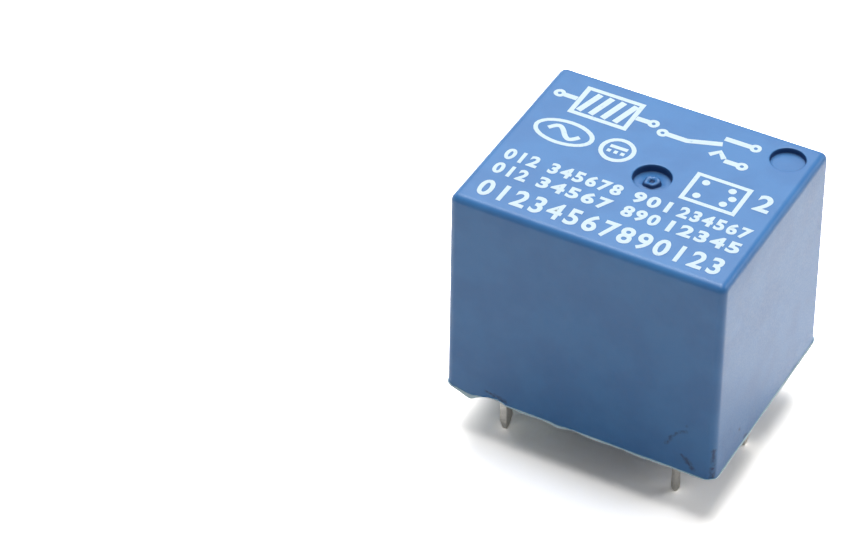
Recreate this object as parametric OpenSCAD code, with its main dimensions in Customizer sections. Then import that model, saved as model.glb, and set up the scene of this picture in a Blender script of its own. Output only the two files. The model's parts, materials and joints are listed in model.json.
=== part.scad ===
// Sealed power relay for a circuit board, cube pattern, one change-over contact.
// Millimetres. Z = 0 is the plane of the pin tips. X runs along the case, from the two
// fixed-contact pins at -X to the common pin at +X, and the case is centred on X and Y.
// The armature is drawn released: the moving contact lies against the closed contact.

/* [Case] */
// Outside length of the case at its open rim
case_len = 19; // [18.6:0.1:24]
// Outside width of the case at its open rim
case_wid = 15.5; // [15.1:0.1:20]
// Height of the case from its rim to its top face
case_hgt = 15.5; // [15:0.1:22]
// Thickness of the side walls at the rim
wall = 0.75; // [0.5:0.05:1]
// Thickness of the top
roof = 1.05; // [0.9:0.05:1.5]
// How much each side leans in between rim and top
draft = 0.13; // [0:0.01:0.2]
// Radius on the outer edges of the case
edge_r = 0.35; // [0.1:0.05:0.9]
// Depth of the two round recesses in the top
recess_depth = 0.5; // [0.2:0.05:0.7]
// Diameter of the moulding-gate recess near the middle of the top
gate_dia = 2.5; // [1.6:0.1:4]
// Distance of the gate recess from the middle, towards the common pin
gate_offset = 0.8; // [0:0.1:3]
// Diameter of the recess in the corner of the top
corner_dia = 2.4; // [1:0.1:3]
// Distance of the corner recess from the two faces next to it
corner_inset = 2.15; // [1.8:0.05:4]

/* [Pins] */
// Length of the pins below the rim of the case
pin_len = 3.7; // [2.5:0.1:6]
// Diameter of the two round coil pins
coil_pin_dia = 0.6; // [0.4:0.05:0.8]
// Thickness of the contact strips and of their flat pins
strip = 0.5; // [0.3:0.05:0.6]
// Width of the flat pins
flat_pin_wid = 0.9; // [0.6:0.05:1.2]
// Length of the taper at the tip of a flat pin
tip_len = 0.8; // [0.3:0.1:1.5]
// Width left at the tip of a flat pin
tip_wid = 0.4; // [0.2:0.05:0.6]
// Thickness left at the tip of a flat pin
tip_thk = 0.3; // [0.2:0.05:0.5]
// From the inside of the end wall to the middle of the common strip
common_room = 0.55; // [0.5:0.05:0.8]
// From the inside of the other end wall to the middle of the fixed strips
contact_room = 2.75; // [2.6:0.05:3.2]
// From the inside of the side walls to the middle of the four side pins
side_room = 1; // [0.95:0.05:1.2]
// From the inner face of the yoke to the middle of the coil pins
coil_pin_back = 0.4; // [0.3:0.05:0.8]

/* [Base] */
// How far the raised panel of the base lies inside the rim
panel_recess = 0.9; // [0.5:0.1:1.5]
// Depth of the sealing wells below the panel
well_depth = 0.5; // [0.3:0.05:0.8]
// Thickness of the base, panel included
base_thk = 1.7; // [1.4:0.1:2.2]
// Width of the well along the two long sides
side_well = 0.95; // [0.6:0.05:1.2]
// Width of the well along the two short sides
end_well = 0.5; // [0.3:0.05:0.7]
// Thickness of the sealing resin in the wells
resin_thk = 0.25; // [0.1:0.05:0.28]
// Thickness of the posts on each side of a fixed strip
post_cheek = 1.2; // [0.8:0.1:1.3]
// Diameter of the round mark around the gate of the base
base_gate_dia = 3.6; // [2:0.1:5]
// Length of the two ridges on the base that hold the yoke's foot between them
ridge_len = 5; // [3:0.1:5.5]
// Diameter of the dab of sealant
dab_dia = 3.4; // [2:0.1:4]
// Depth of the dab of sealant
dab_hgt = 0.4; // [0.2:0.05:0.6]

/* [Magnet] */
// Thickness of the yoke
yoke_thk = 1.2; // [0.8:0.05:1.5]
// How far each edge of the yoke lies inside the side of the winding
yoke_inset = 0.15; // [0:0.05:0.5]
// Width of each ear of the yoke, beside the armature
ear_wid = 0.8; // [0.6:0.05:1]
// Length cut off the corners of the yoke's foot
foot_cut = 0.8; // [0.2:0.1:1.5]
// Thickness of the armature
armature_thk = 1.1; // [0.8:0.05:1.3]
// Distance from the heel of the armature to its rivets
rivet_back = 4.1; // [3.6:0.1:4.6]
// Diameter of the rivets' shanks
rivet_dia = 1; // [0.8:0.05:1.2]
// Diameter of the rivets' heads
rivet_head_dia = 1.7; // [1.4:0.05:1.9]
// Diameter of the core
core_dia = 3.6; // [2.5:0.1:4.5]
// Diameter of the pole face
pole_dia = 6; // [5:0.1:7]
// Thickness of the pole face
pole_thk = 0.7; // [0.5:0.05:1]
// Thickness of the bobbin's flanges
flange_thk = 0.8; // [0.6:0.05:1]
// Thickness of the bobbin's tube
tube_wall = 0.5; // [0.35:0.05:0.8]
// How far the winding stays inside the edge of the flanges
winding_inset = 0.4; // [0.2:0.05:1]
// How much fuller the winding is in its middle than at its ends
winding_crown = 0.12; // [0.04:0.02:0.2]
// Diameter of the winding's lead wires
lead_dia = 0.18; // [0.1:0.02:0.24]

/* [Contacts] */
// Angle through which the armature closes
open_deg = 2.6; // [2:0.1:3]
// Thickness of the spring blade
blade_thk = 0.15; // [0.1:0.01:0.2]
// Width of the spring blade at the armature
blade_wid = 5.6; // [5:0.1:6.4]
// Width of the spring blade at the contact
blade_tip_wid = 3.2; // [2.6:0.1:4]
// Diameter of the contact heads
contact_dia = 2; // [1.6:0.1:2.4]
// Height of the contact heads
contact_hgt = 0.4; // [0.3:0.05:0.5]
// Gap left between two contacts that meet
touch_gap = 0.05; // [0.04:0.01:0.1]

/* [Hidden] */
$fn = 48;

// Clearances
fit = 0.05;              // round a pin or strip in its hole
lay = 0.01;              // under and over the blade where a rivet holds it
plate_gap = 0.1;         // base to case, and bobbin to yoke
seat_gap = 0.03;         // armature to yoke and pole face when closed
roof_gap = 0.25;         // closed strip to the roof
cut = 0.1;               // how far a cutting shape runs past the surface it cuts

// Inside of the case
cav_x = case_len / 2 - wall;
cav_y = case_wid / 2 - wall;
cavity_r = 0.3;
rim_z = pin_len;
top_z = rim_z + case_hgt;
roof_z = top_z - roof;

// Heights in the base and up to the lower flange
panel_z = rim_z + panel_recess;
well_z = panel_z + well_depth;
floor_z = panel_z + base_thk;
flange_z = floor_z + yoke_thk;
coil_z = flange_z + flange_thk;

// Heights of the armature and the magnet, set from the roof
armature_top = roof_z - 1.25;
armature_z = armature_top - armature_thk;
pole_top = armature_z - seat_gap;
pole_z = pole_top - pole_thk;
coil_top = pole_z - flange_thk;

// Places along X
common_x = cav_x - common_room;
yoke_x = common_x - strip / 2 - blade_thk;
yoke_in = yoke_x - yoke_thk;
coil_pin_x = yoke_in - coil_pin_back;
strip_x = contact_room - cav_x;
post_x = strip_x + strip / 2 + fit + post_cheek;
bobbin_x0 = post_x + 0.3;
bobbin_x1 = yoke_in - plate_gap;
coil_x = (bobbin_x0 + bobbin_x1) / 2;
heel_x = yoke_x - 0.5;
contact_x = strip_x - 1.1;
armature_x = bobbin_x0 + 1;
blade_x = contact_x - contact_dia / 2 - 0.2;

// Places along Y
pin_y = cav_y - side_room;
bobbin_y = cav_y - 1.4;
leg_in = pin_y - 1.1;
leg_out = pin_y + 0.7;
rivet_y = blade_wid / 2 - 1;

// The contact gap follows from the armature's swing
travel = (heel_x - contact_x) * sin(open_deg);
closed_pad_z = roof_z - roof_gap - strip;
closed_face = closed_pad_z - contact_hgt;
blade_z = closed_face - touch_gap - contact_hgt - blade_thk - travel;
open_face = blade_z - contact_hgt - touch_gap;
open_pad_z = open_face - contact_hgt - strip;

// Round parts
coil_pin_r = coil_pin_dia / 2;
coil_grip_r = coil_pin_r + 0.06;
core_r = core_dia / 2;
tenon_r = core_r - 0.4;
tube_r = core_r + fit + tube_wall;
winding_r = min(bobbin_x1 - bobbin_x0, 2 * bobbin_y) / 2 - winding_inset;
shank_r = contact_dia / 2 - 0.45;
winding_end_r = winding_r - winding_crown;
rivet_r = rivet_dia / 2;
rivet_head_r = rivet_head_dia / 2;
rivet_z = (coil_z + coil_top) / 2 + 0.3;
armature_rivet_x = heel_x - rivet_back;
bend_r = 0.3;
rib_thk = 0.6;

// Widths of the yoke and of the armature between its ears
yoke_wid = 2 * (winding_r - yoke_inset);
armature_wid = yoke_wid - 2 * (ear_wid + plate_gap);

function lean(z) = draft * (z - rim_z) / case_hgt;

// Block between two corners
module block(low, high) translate(low) cube(high - low);

// Block with rounded upright edges, centred on X and Y
module round_plate(len, wid, r, z0, z1) {
    translate([0, 0, z0]) linear_extrude(z1 - z0) round_rect(len, wid, r);
}

module round_rect(len, wid, r) {
    square([len, wid - 2 * r], center = true);
    square([len - 2 * r, wid], center = true);
    for (sx = [-1, 1], sy = [-1, 1]) translate([sx * (len / 2 - r), sy * (wid / 2 - r)]) circle(r);
}

// Outline in the YZ plane, given thickness along X on each side of x
module upright_sheet(x, thk) {
    translate([x - thk / 2, 0, 0]) rotate([90, 0, 90]) linear_extrude(thk) children();
}

// Outline in the XZ plane, extruded along Y between y0 and y1
module along_y(y0, y1) {
    translate([0, y1, 0]) rotate([90, 0, 0]) linear_extrude(y1 - y0) children();
}

// Drafted box that follows the outside of the case, inset from it, with rounded edges
module drafted_box(inset, z0, z1, r) {
    hull() for (sx = [-1, 1], sy = [-1, 1]) {
        translate([sx * (case_len / 2 - inset - lean(z0) - r),
                   sy * (case_wid / 2 - inset - lean(z0) - r), z0])
            cylinder(r = r, h = 0.01, $fn = 32);
        translate([sx * (case_len / 2 - inset - lean(z1) - r),
                   sy * (case_wid / 2 - inset - lean(z1) - r), z1 - r])
            sphere(r, $fn = 32);
    }
}

module case() {
    color("#2f6fb5") difference() {
        drafted_box(0, rim_z, top_z, edge_r);
        drafted_box(wall, rim_z - cut, roof_z, cavity_r);
        translate([gate_offset, 0, top_z - recess_depth]) difference() {
            cylinder(d = gate_dia, h = recess_depth + cut);
            // Stub left where the sprue broke off
            translate([0, 0, -cut]) cylinder(d1 = 1, d2 = 0.7, h = cut + 0.2);
        }
        translate([case_len / 2 - corner_inset, case_wid / 2 - corner_inset, top_z - recess_depth])
            cylinder(d = corner_dia, h = recess_depth + cut);
    }
}

// Raised panel of the base: a rectangle that leaves a well round each pin
module panel_outline() {
    half_x = cav_x - end_well;
    half_y = cav_y - side_well;
    corner_y = pin_y - 1.5;
    difference() {
        square(2 * [half_x, half_y], center = true);
        for (s = [-1, 1]) {
            translate([-cav_x, s > 0 ? corner_y : -cav_y])
                square([cav_x + strip_x + 1.9, cav_y - corner_y]);
            translate([coil_pin_x - 1.2, s > 0 ? corner_y : -cav_y])
                square([cav_x - coil_pin_x + 1.2, cav_y - corner_y]);
        }
        translate([common_x - 1, -1.9]) square([cav_x - common_x + 1, 3.8]);
    }
}

// The places that the pins pass through, grown by a clearance
module pin_holes(gap) {
    for (s = [-1, 1]) {
        translate([coil_pin_x, s * pin_y]) circle(coil_grip_r + gap);
        translate([strip_x, s * pin_y]) square([strip, flat_pin_wid] + 2 * [gap, gap], center = true);
    }
    translate([common_x, 0]) square([strip, flat_pin_wid] + 2 * [gap, gap], center = true);
}

// Post that holds the upright leg of a fixed strip, slotted from the side wall
module strip_post(side, pad_z) {
    y0 = leg_in - 0.6;
    y1 = cav_y - plate_gap - 0.05;
    low_y = side > 0 ? y0 : -y1;
    leg_y = side > 0 ? leg_in - fit : -y1 - cut;
    leg_len = y1 - leg_in + fit + cut;
    difference() {
        union() {
            translate([strip_x - strip / 2 - fit - post_cheek, low_y, floor_z - cut])
                cube([2 * (strip / 2 + fit + post_cheek), y1 - y0, pad_z - floor_z + cut]);
            // Rib that stiffens the post, outside the bobbin's flange
            along_y(side > 0 ? y1 - rib_thk : -y1, side > 0 ? y1 : rib_thk - y1)
                polygon([[post_x - cut, floor_z - cut], [post_x + 1.2, floor_z - cut],
                         [post_x + 1.2, floor_z + 0.6], [post_x - cut, (floor_z + pad_z) / 2]]);
        }
        translate([strip_x - strip / 2 - fit, leg_y, floor_z])
            cube([strip + 2 * fit, leg_len, pad_z]);
        translate([strip_x - strip / 2 - fit - bend_r, leg_y, pad_z - bend_r - fit])
            cube([bend_r + fit + cut, leg_len, pad_z]);
    }
}

module base() {
    half_x = cav_x - plate_gap;
    half_y = cav_y - plate_gap;
    color("#26282b") {
        difference() {
            union() {
                round_plate(2 * half_x, 2 * half_y, cavity_r, well_z, floor_z);
                translate([0, 0, panel_z]) linear_extrude(base_thk) panel_outline();
                strip_post(1, closed_pad_z);
                strip_post(-1, open_pad_z);
                for (s = [-1, 1]) {
                    translate([coil_pin_x, s * pin_y, floor_z - cut])
                        cylinder(r = 0.8, h = yoke_thk + cut);
                    translate([coil_x + 2 - ridge_len, s > 0 ? yoke_wid / 2 + fit : -yoke_wid / 2 - fit - 0.5,
                               floor_z - cut])
                        cube([ridge_len, 0.5, yoke_thk - 0.3 + cut]);
                }
            }
            translate([0, 0, panel_z - cut]) linear_extrude(base_thk + yoke_thk + 2 * cut)
                pin_holes(fit);
            translate([-0.7, 0, panel_z - cut]) cylinder(d = base_gate_dia, h = 0.15 + cut);
            translate([-1, base_gate_dia / 2 - 0.45, panel_z - cut]) linear_extrude(0.9 + cut)
                round_rect(1.2, 0.6, 0.29);
        }
    }
}

module seal_resin() {
    color("#17181a") translate([0, 0, well_z - resin_thk]) linear_extrude(resin_thk) difference() {
        round_rect(2 * cav_x - 0.06, 2 * cav_y - 0.06, cavity_r);
        panel_outline();
        pin_holes(0.01);
    }
}

// Blob of sealant on the panel, beside the open-contact pin: a round pool drawn out to one side
module sealant_dab() {
    r = dab_dia / 2;
    color("#3f9a78") translate([strip_x + 0.45, -pin_y / 3, panel_z]) mirror([0, 0, 1]) hull() {
        cylinder(r = r, h = 0.1 * dab_hgt, $fn = 32);
        translate([0.09 * r, 0.26 * r, 0]) cylinder(r = 0.97 * r, h = 0.3 * dab_hgt, $fn = 32);
        translate([-0.18 * r, -0.65 * r, 0]) cylinder(r = 0.65 * r, h = 0.25 * dab_hgt, $fn = 32);
        translate([0.06 * r, 0.06 * r, 0]) cylinder(r = 0.8 * r, h = 0.75 * dab_hgt, $fn = 32);
        translate([0.06 * r, 0.06 * r, 0]) cylinder(r = 0.5 * r, h = dab_hgt, $fn = 32);
    }
}

module bobbin() {
    len = bobbin_x1 - bobbin_x0;
    color("#1f2124") difference() {
        union() {
            translate([coil_x, 0, 0]) {
                round_plate(len, 2 * bobbin_y, 0.8, flange_z, coil_z);
                round_plate(len, 2 * bobbin_y, 0.8, coil_top, pole_z);
                translate([0, 0, flange_z]) cylinder(r = tube_r, h = pole_z - flange_z);
            }
            for (s = [-1, 1]) {
                translate([coil_pin_x, s * pin_y, flange_z]) cylinder(r = 0.8, h = flange_thk);
                translate([coil_pin_x - 1.6, s > 0 ? bobbin_y - 1 : -pin_y - 0.4, flange_z])
                    cube([1.6, pin_y + 0.4 - bobbin_y + 1, flange_thk]);
            }
        }
        // Notches in the upper flange, where the wire is led in and out while it is wound
        for (s = [-1, 1]) {
            translate([coil_x - 0.4, s > 0 ? bobbin_y - 0.5 : -bobbin_y - cut, coil_top - cut])
                cube([0.8, 0.5 + cut, flange_thk + 2 * cut]);
        }
        // Room for the inside of the yoke's fold
        along_y(-yoke_wid / 2 - fit, yoke_wid / 2 + fit)
            polygon([[bobbin_x1 - bend_r, flange_z - cut], [bobbin_x1 - bend_r, flange_z],
                     [bobbin_x1, flange_z + bend_r], [bobbin_x1 + cut, flange_z - cut]]);
        translate([coil_x, 0, flange_z - cut]) cylinder(r = core_r + fit, h = pole_z - flange_z + 2 * cut);
        for (s = [-1, 1]) {
            translate([coil_pin_x, s * pin_y, flange_z - cut])
                cylinder(r = coil_grip_r + fit, h = flange_thk + 2 * cut);
        }
    }
}

module winding() {
    hgt = coil_top - coil_z;
    color("#a5502a") translate([coil_x, 0, coil_z]) rotate_extrude()
        polygon([[tube_r + 0.01, 0], [winding_end_r, 0], [winding_end_r, 0.4],
                 [winding_r - 0.3 * winding_crown, 0.2 * hgt], [winding_r, 0.4 * hgt],
                 [winding_r, 0.6 * hgt], [winding_r - 0.3 * winding_crown, 0.8 * hgt],
                 [winding_end_r, hgt - 0.4], [winding_end_r, hgt], [tube_r + 0.01, hgt]]);
}

// Turned core: tenon staked in the yoke's foot, shank in the bobbin, chamfered pole face
module core() {
    edge = 0.15;
    color("#a9adb0") translate([coil_x, 0, 0]) rotate_extrude()
        polygon([[0, floor_z], [tenon_r - edge, floor_z], [tenon_r, floor_z + edge],
                 [tenon_r, flange_z], [core_r, flange_z], [core_r, pole_z],
                 [pole_dia / 2, pole_z], [pole_dia / 2, pole_top - edge],
                 [pole_dia / 2 - edge, pole_top], [0, pole_top]]);
}

// Side view of the folded yoke: foot, fold and leg
module yoke_outline() {
    centre = [yoke_in - bend_r, flange_z + bend_r];
    foot_x = coil_x - pole_dia / 2;
    polygon(concat([[foot_x, floor_z]], arc(centre, bend_r + yoke_thk, -90, 0, 10),
                   [[yoke_x, pole_top], [yoke_in, pole_top]], arc(centre, bend_r, 0, -90, 6),
                   [[foot_x, flange_z]]));
}

module yoke() {
    half = yoke_wid / 2;
    foot_x = coil_x - pole_dia / 2;
    color("#b4b7b9") difference() {
        union() {
            along_y(-half, half) yoke_outline();
            for (s = [-1, 1]) {
                translate([yoke_in, s > 0 ? half - ear_wid : -half, pole_top - cut])
                    cube([yoke_thk, ear_wid, armature_thk - 0.2 + cut]);
            }
        }
        // Corners cut off the foot
        for (s = [-1, 1]) {
            translate([0, 0, floor_z - cut]) linear_extrude(yoke_thk + 2 * cut)
                polygon([[foot_x - cut, s * (half + cut)], [foot_x - cut, s * (half - foot_cut - cut)],
                         [foot_x + foot_cut + cut, s * (half + cut)]]);
        }
        translate([coil_x, 0, floor_z - cut]) cylinder(r = tenon_r + 0.02, h = yoke_thk + 2 * cut);
        for (s = [-1, 1]) {
            translate([yoke_in - cut, s * rivet_y, rivet_z]) rotate([0, 90, 0])
                cylinder(r = rivet_r + 0.02, h = yoke_thk + 2 * cut);
        }
    }
}

// Turns what was drawn with the armature closed to where it rests when released
module released() {
    translate([heel_x, 0, armature_z]) rotate([0, open_deg, 0]) translate([-heel_x, 0, -armature_z])
        children();
}

module armature() {
    nose = 1;
    half = armature_wid / 2;
    color("#b9bcbe") released() difference() {
        translate([0, 0, armature_z]) linear_extrude(armature_thk)
            polygon([[heel_x, -half], [heel_x, half], [armature_x + nose, half],
                     [armature_x, half - nose], [armature_x, nose - half],
                     [armature_x + nose, -half]]);
        for (s = [-1, 1]) {
            translate([armature_rivet_x, s * rivet_y, armature_z - cut])
                cylinder(r = rivet_r + 0.02, h = armature_thk + 2 * cut);
        }
    }
}

// A point of the closed armature's side view, as [x, z], turned to the released position
function swing(p) = [heel_x + (p[0] - heel_x) * cos(open_deg) + (p[1] - armature_z) * sin(open_deg),
                     armature_z - (p[0] - heel_x) * sin(open_deg) + (p[1] - armature_z) * cos(open_deg)];

// Points on a circle round a centre, from angle a0 to a1
function arc(centre, r, a0, a1, steps) =
    [for (i = [0:steps]) centre + r * [cos(a0 + (a1 - a0) * i / steps), sin(a0 + (a1 - a0) * i / steps)]];

// Unit vector that points to the right of the way from p to q
function right_of(p, q) = [q[1] - p[1], p[0] - q[0]] / norm(q - p);

// Point i of a path moved to its right by d, mitred at the corners
function beside(path, i, d) =
    let (last = len(path) - 1,
         n0 = i > 0 ? right_of(path[i - 1], path[i]) : right_of(path[0], path[1]),
         n1 = i < last ? right_of(path[i], path[i + 1]) : right_of(path[last - 1], path[last]))
    path[i] + (n0 + n1) * d / (1 + n0 * n1);

// Side view of a thin strip bent along a path, with its thickness on the right of the path
module bent_strip(path, thk) {
    last = len(path) - 1;
    polygon(concat(path, [for (i = [last:-1:0]) beside(path, i, thk)]));
}

// Inner face of the blade: up the yoke, round over the heel, along the armature, then down a
// step to the contact
function blade_path() =
    let (r = 0.45,
         lie_z = armature_top + lay,
         edge = swing([heel_x, lie_z]),
         corner = [yoke_x, edge[1] - (yoke_x - edge[0]) * tan(open_deg)],
         centre = corner - [r, r * tan(45 - open_deg / 2)])
    concat([[yoke_x, rivet_z - 1.3]],
           arc(centre, r, 0, 90 - open_deg, 8),
           [swing([armature_x - 0.3, lie_z]),
            swing([armature_x - 0.9, blade_z]),
            swing([blade_x, blade_z])]);

module common_blade() {
    half = blade_wid / 2;
    tip = blade_tip_wid / 2;
    color("#c98a4b") difference() {
        intersection() {
            along_y(-half, half) bent_strip(blade_path(), blade_thk);
            translate([0, 0, rim_z]) linear_extrude(case_hgt)
                polygon([[cav_x, -half], [cav_x, half], [armature_x, half], [strip_x + 0.6, tip],
                         [blade_x + 0.5, tip], [blade_x - cut, tip - 0.6],
                         [blade_x - cut, 0.6 - tip], [blade_x + 0.5, -tip],
                         [strip_x + 0.6, -tip], [armature_x, -half]]);
        }
        // Window that softens the bend over the heel
        block([heel_x - 1.6, -rivet_y + 0.5, rivet_z + rivet_head_r + 0.8],
              [cav_x, rivet_y - 0.5, top_z]);
        for (s = [-1, 1]) {
            translate([yoke_x - cut, s * rivet_y, rivet_z]) rotate([0, 90, 0])
                cylinder(r = rivet_r + 0.02, h = 1);
            released() translate([armature_rivet_x, s * rivet_y, armature_z])
                cylinder(r = rivet_r + 0.02, h = armature_thk + 1);
        }
        released() translate([contact_x, 0, blade_z - 1]) cylinder(r = shank_r + 0.02, h = 2);
    }
}

module armature_rivets() {
    grip = armature_thk + blade_thk + 2 * lay;
    color("#c2c4c5") released() for (s = [-1, 1]) {
        translate([armature_rivet_x, s * rivet_y, armature_z]) {
            cylinder(r = rivet_r, h = grip);
            translate([0, 0, grip]) cylinder(r = rivet_head_r, h = 0.25);
        }
    }
}

module yoke_rivets() {
    len = yoke_thk + blade_thk + strip;
    color("#c2c4c5") for (s = [-1, 1]) {
        translate([yoke_in, s * rivet_y, rivet_z]) rotate([0, 90, 0]) {
            cylinder(r = rivet_r, h = len);
            translate([0, 0, len]) cylinder(r = rivet_head_r, h = 0.15);
        }
    }
}

// Domed head that rises from z = 0, lower towards its rim
module contact_head() {
    head_r = contact_dia / 2;
    crown = 0.25 * contact_hgt;
    dome_r = (head_r * head_r + crown * crown) / (2 * crown);
    rotate_extrude() polygon(concat([[0, 0], [head_r, 0]],
        arc([0, contact_hgt - dome_r], dome_r, acos(head_r / dome_r), 90, 6)));
}

module moving_contact() {
    color("#d9d9d4") released() translate([contact_x, 0, blade_z]) {
        translate([0, 0, blade_thk]) contact_head();
        mirror([0, 0, 1]) contact_head();
        cylinder(r = shank_r, h = blade_thk);
    }
}

// Contact rivet in a pad whose underside is at z: side 1 faces down, side -1 faces up
module fixed_contact(z, side) {
    stake = 0.12;
    translate([contact_x, 0, side > 0 ? z : z + strip]) {
        mirror([0, 0, side > 0 ? 1 : 0]) contact_head();
        translate([0, 0, side > 0 ? 0 : -strip]) cylinder(r = shank_r, h = strip);
        translate([0, 0, side > 0 ? strip : -strip - stake]) cylinder(r = shank_r + 0.25, h = stake);
    }
}

module closed_contact() {
    color("#d9d9d4") fixed_contact(closed_pad_z, 1);
}

module open_contact() {
    color("#d9d9d4") fixed_contact(open_pad_z, -1);
}

// Outline of a flat pin: its width below top, with a narrower tip at z = 0
module pin_taper(middle, wid, tip, top) {
    polygon([[middle - wid / 2, top], [middle - wid / 2, tip_len], [middle - tip / 2, 0],
             [middle + tip / 2, 0], [middle + wid / 2, tip_len], [middle + wid / 2, top]]);
}

// Flat pin stamped from the strip, its tip narrowed both ways
module flat_pin(x, y, top) {
    intersection() {
        upright_sheet(x, strip) pin_taper(y, flat_pin_wid, tip_wid, top);
        along_y(y - flat_pin_wid, y + flat_pin_wid) pin_taper(x, strip, tip_thk, top);
    }
}

// Side view of a fixed strip: leg, fold and pad
module strip_outline(pad_x, pad_z) {
    centre = [strip_x - strip / 2 - bend_r, pad_z - bend_r];
    polygon(concat([[strip_x + strip / 2, floor_z]], arc(centre, bend_r + strip, 0, 90, 10),
                   [[pad_x, pad_z + strip], [pad_x, pad_z]], arc(centre, bend_r, 90, 0, 6),
                   [[strip_x - strip / 2, floor_z]]));
}

// Fixed strip: pin, leg, fold and a pad that reaches in over or under the blade
module fixed_strip(side, pad_z) {
    pad_x = -cav_x + 0.4;
    pad_end = contact_dia / 2 + 0.5;
    corner = 0.5;
    mirror([0, side > 0 ? 0 : 1, 0]) difference() {
        union() {
            flat_pin(strip_x, pin_y, floor_z + cut);
            along_y(leg_in, leg_out) strip_outline(pad_x, pad_z);
            translate([0, 0, pad_z]) linear_extrude(strip)
                polygon([[pad_x, corner - pad_end], [pad_x + corner, -pad_end],
                         [strip_x + 0.1 - corner, -pad_end], [strip_x + 0.1, corner - pad_end],
                         [strip_x + 0.1, leg_in - 0.3], [strip_x - strip / 2 - bend_r, leg_in - 0.3],
                         [strip_x - strip / 2 - bend_r, leg_out], [pad_x + corner, leg_out],
                         [pad_x, leg_out - corner]]);
        }
        translate([contact_x, 0, pad_z - cut]) cylinder(r = shank_r + 0.02, h = strip + 2 * cut);
    }
}

module closed_terminal() {
    color("#c9a24a") fixed_strip(1, closed_pad_z);
}

module open_terminal() {
    color("#c9a24a") fixed_strip(-1, open_pad_z);
}

module common_terminal() {
    half = blade_wid / 2;
    shoulder = floor_z + 0.6;
    color("#c9a24a") difference() {
        union() {
            flat_pin(common_x, 0, shoulder + cut);
            upright_sheet(common_x, strip)
                polygon([[-half, shoulder + 1], [-flat_pin_wid, shoulder], [flat_pin_wid, shoulder],
                         [half, shoulder + 1], [half, rivet_z + 0.8], [half - 0.7, rivet_z + 1.5],
                         [0.7 - half, rivet_z + 1.5], [-half, rivet_z + 0.8]]);
        }
        for (s = [-1, 1]) {
            translate([common_x - strip, s * rivet_y, rivet_z]) rotate([0, 90, 0])
                cylinder(r = rivet_r + 0.02, h = 2 * strip);
        }
    }
}

// Round coil pin: thin below the case, with a thicker grip through resin, base and flange
module coil_terminal(side) {
    chamfer = 0.15;
    grip_z = rim_z;
    color("#c8cacb") translate([coil_pin_x, side * pin_y, 0]) {
        cylinder(r1 = coil_pin_r - chamfer, r2 = coil_pin_r, h = 2 * chamfer);
        translate([0, 0, 2 * chamfer]) cylinder(r = coil_pin_r, h = grip_z - 2 * chamfer);
        translate([0, 0, grip_z]) cylinder(r = coil_grip_r, h = coil_z + 1.1 - grip_z);
    }
}

module coil_terminal_a() {
    coil_terminal(-1);
}

module coil_terminal_b() {
    coil_terminal(1);
}

// Round wire swept along a path that stays near level, as one closed solid
module wire(path, r, sides) {
    last = len(path) - 1;
    function way(i) = let (d = path[min(i + 1, last)] - path[max(i - 1, 0)]) d / norm(d);
    function ring(i) =
        let (across = cross(way(i), [0, 0, 1]), u = across / norm(across), v = cross(u, way(i)))
        [for (k = [0:sides - 1]) path[i] + r * (u * cos(360 * k / sides) + v * sin(360 * k / sides))];
    polyhedron(
        points = [for (i = [0:last]) each ring(i)],
        faces = concat([[for (k = [0:sides - 1]) k]],
                       [for (i = [0:last - 1], k = [0:sides - 1])
                           [i * sides + k, (i + 1) * sides + k,
                            (i + 1) * sides + (k + 1) % sides, i * sides + (k + 1) % sides]],
                       [[for (k = [sides - 1:-1:0]) last * sides + k]]));
}

// Lead wire: a run from the winding to the coil pin, and three turns up the pin
module lead_wire(side) {
    turns = 3;
    per_turn = 14;
    wire_r = lead_dia / 2;
    turn_r = coil_grip_r + wire_r + 0.01;
    away = [coil_pin_x - coil_x, pin_y];
    angle = atan2(away[1], away[0]);
    run = norm(away) - winding_end_r - 0.02;
    start_z = coil_z + wire_r + 0.06;
    run_points = [for (i = [0:3]) [-run * (3 - i) / 3, -turn_r, start_z]];
    turn_points = [for (i = [1:turns * per_turn])
        [turn_r * sin(360 * i / per_turn), -turn_r * cos(360 * i / per_turn),
         start_z + 1.15 * lead_dia * i / per_turn]];
    color("#b5562c") mirror([0, side > 0 ? 0 : 1, 0]) translate([coil_pin_x, pin_y, 0])
        rotate([0, 0, angle]) wire(concat(run_points, turn_points), wire_r, 8);
}

module lead_wire_a() {
    lead_wire(-1);
}

module lead_wire_b() {
    lead_wire(1);
}

case();
base();
seal_resin();
sealant_dab();
bobbin();
winding();
core();
yoke();
armature();
common_blade();
armature_rivets();
yoke_rivets();
moving_contact();
common_terminal();
closed_terminal();
closed_contact();
open_terminal();
open_contact();
coil_terminal_a();
coil_terminal_b();
lead_wire_a();
lead_wire_b();
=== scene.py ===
"""Cube relay for a circuit board: a moulded blue cap over a black base, a coil and its contacts.

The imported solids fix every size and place. Each one is dressed here as the moulded, plated,
rolled or wound piece that it is, on a plain pale floor. Lengths are in metres, except where
they are said to be in millimetres and become metres through MM.
"""

import json
import math

import bmesh
import bpy
from mathutils import Matrix, Vector, noise


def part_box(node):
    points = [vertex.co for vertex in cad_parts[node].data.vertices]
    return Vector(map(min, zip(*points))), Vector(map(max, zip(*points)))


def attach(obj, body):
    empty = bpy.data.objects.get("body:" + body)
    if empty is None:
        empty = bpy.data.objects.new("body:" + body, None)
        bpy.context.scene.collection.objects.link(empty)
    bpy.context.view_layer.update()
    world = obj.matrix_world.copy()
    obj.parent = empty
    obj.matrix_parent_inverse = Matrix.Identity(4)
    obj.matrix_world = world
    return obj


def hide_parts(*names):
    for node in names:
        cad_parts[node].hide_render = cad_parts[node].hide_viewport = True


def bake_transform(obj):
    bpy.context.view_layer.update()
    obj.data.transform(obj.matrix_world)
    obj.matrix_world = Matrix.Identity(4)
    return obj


MM = 0.001
UP = Vector((0, 0, 1))
# Heights closer than this are the same, and points closer than this are welded
SAME_LEVEL = 1e-6
WELD = 0.001 * MM

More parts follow.
